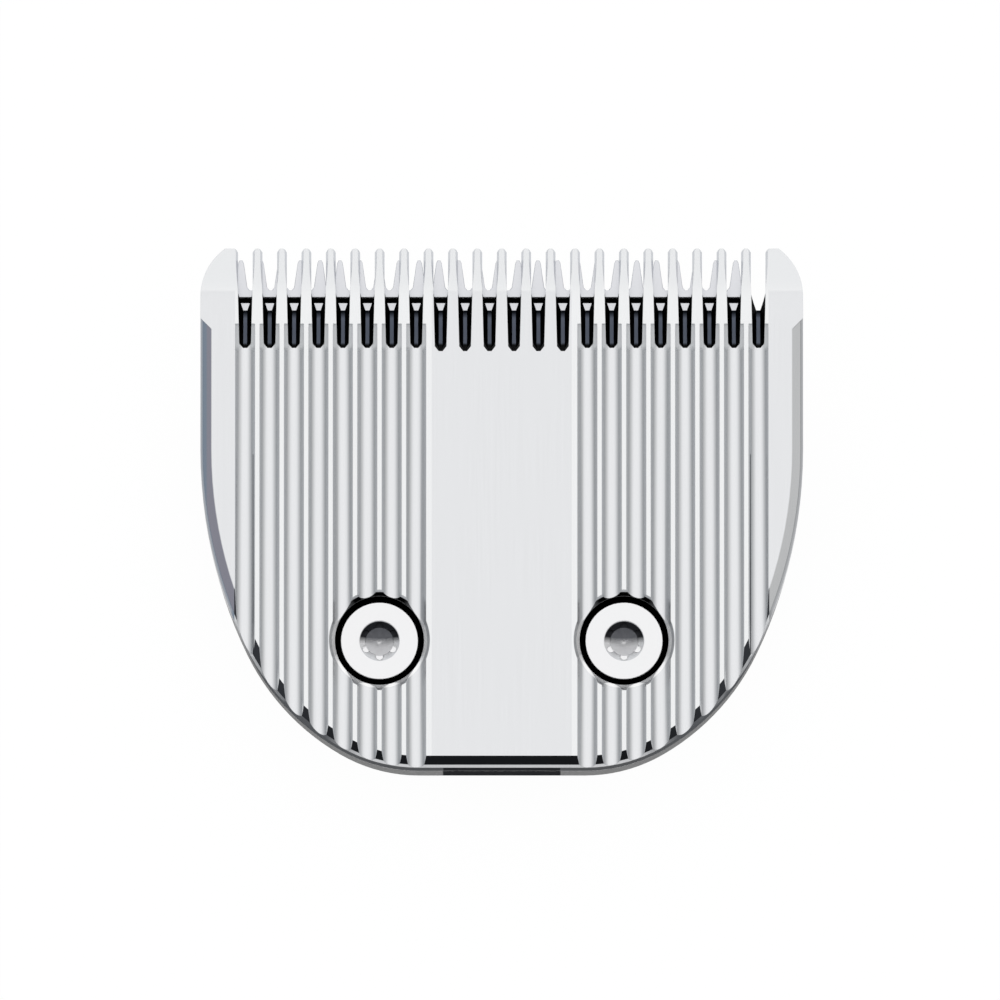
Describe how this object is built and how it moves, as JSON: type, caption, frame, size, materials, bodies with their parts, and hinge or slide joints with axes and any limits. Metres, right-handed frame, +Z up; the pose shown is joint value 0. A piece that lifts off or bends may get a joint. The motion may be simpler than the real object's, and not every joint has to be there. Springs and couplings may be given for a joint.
{
  "type": "hair clipper blade set",
  "caption": "D-shaped ribbed steel comb plate with long slotted teeth over a finer toothed cutter that slides sideways, screwed to a moulded holder with a drive fork.",
  "frame": {"origin": "middle of the holder's underside outline, centre of the whole set's plan, on the surface it lies on", "axes": "+X to the right across the teeth, +Y from the rear towards the tooth tips, +Z up out of the ribbed comb face"},
  "size_m": [0.046, 0.04, 0.008],
  "materials": {
    "comb_steel": "ground and finely brushed steel",
    "cutter_steel": "ground steel",
    "carrier_plastic": "black moulded plastic",
    "holder_plastic": "black moulded plastic",
    "spring_steel": "rolled spring strip",
    "screw_steel": "bright steel"
  },
  "bodies": {
    "base": {"comb_plate": "comb_steel", "blade_holder": "holder_plastic", "pressure_spring": "spring_steel", "comb_screw_left": "screw_steel", "comb_screw_right": "screw_steel"},
    "cutter": {"moving_cutter": "cutter_steel", "cutter_carrier": "carrier_plastic"}
  },
  "joints": [
    {"name": "cutter_slide", "type": "slide", "parent": "base", "child": "cutter", "axis": [1, 0, 0], "range_m": [-0.00018, 0.00222]}
  ]
}
